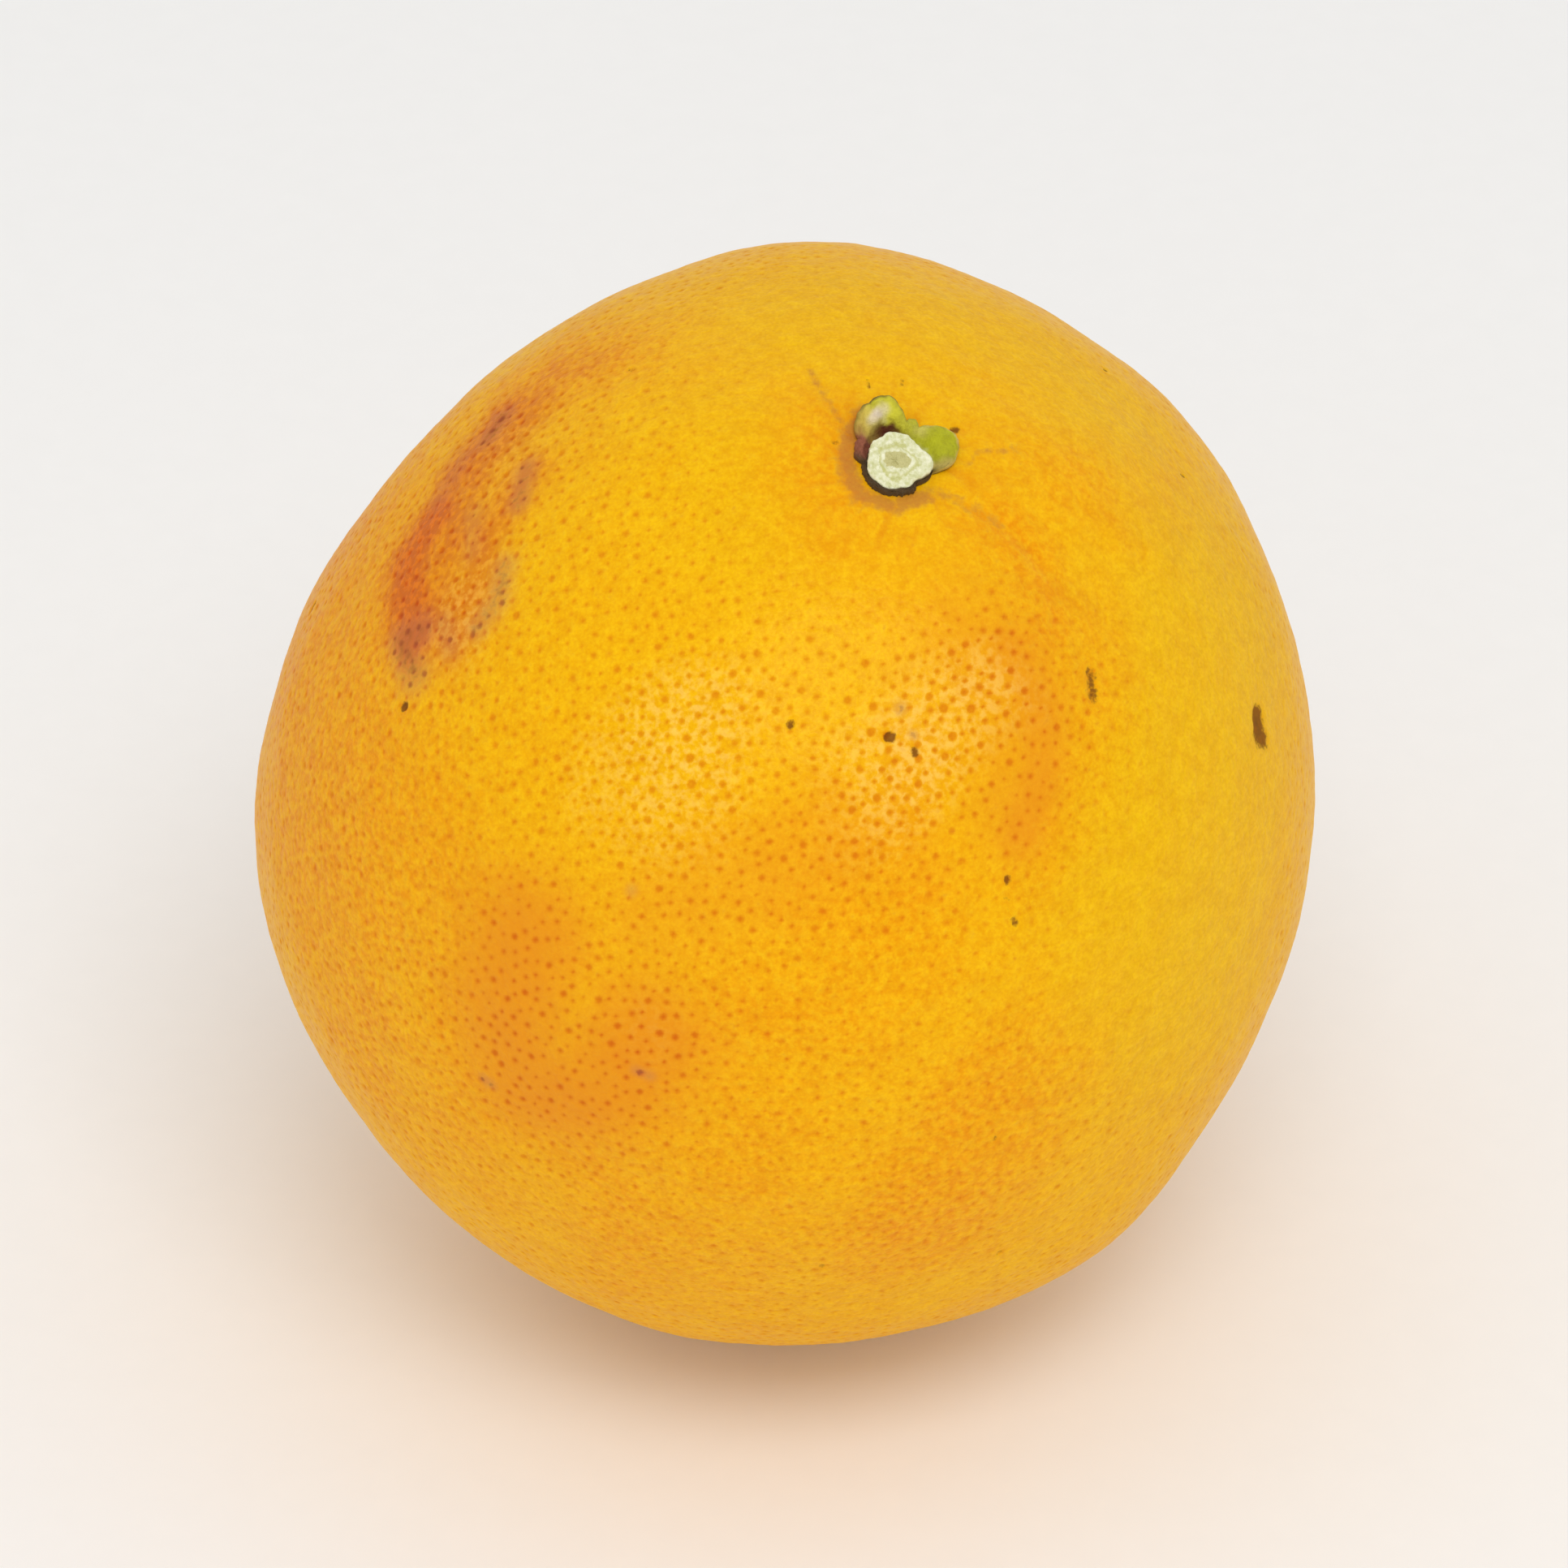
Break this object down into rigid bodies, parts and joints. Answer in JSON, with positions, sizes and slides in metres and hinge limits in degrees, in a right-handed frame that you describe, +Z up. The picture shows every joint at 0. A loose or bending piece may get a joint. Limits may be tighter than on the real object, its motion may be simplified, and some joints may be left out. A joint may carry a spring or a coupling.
{
  "type": "grapefruit",
  "caption": "Whole ripe yellow grapefruit as picked, with its green calyx and a clipped stem stub, resting on a small flat spot of its skin.",
  "frame": {"origin": "centre of the flat spot of skin that the fruit rests on, at the level of the surface it stands on", "axes": "+Z straight up from the resting surface; +X to the right and +Y away, seen from the side that the stem leans towards; the stem end leans 21 degrees from +Z, towards +X and -Y"},
  "size_m": [0.1053, 0.1075, 0.1129],
  "materials": {
    "peel": "satin",
    "calyx": "matte",
    "cut_stem": "matte"
  },
  "bodies": {
    "root": {"fruit": "peel", "calyx": "calyx", "stem_stub": "cut_stem"}
  },
  "joints": []
}
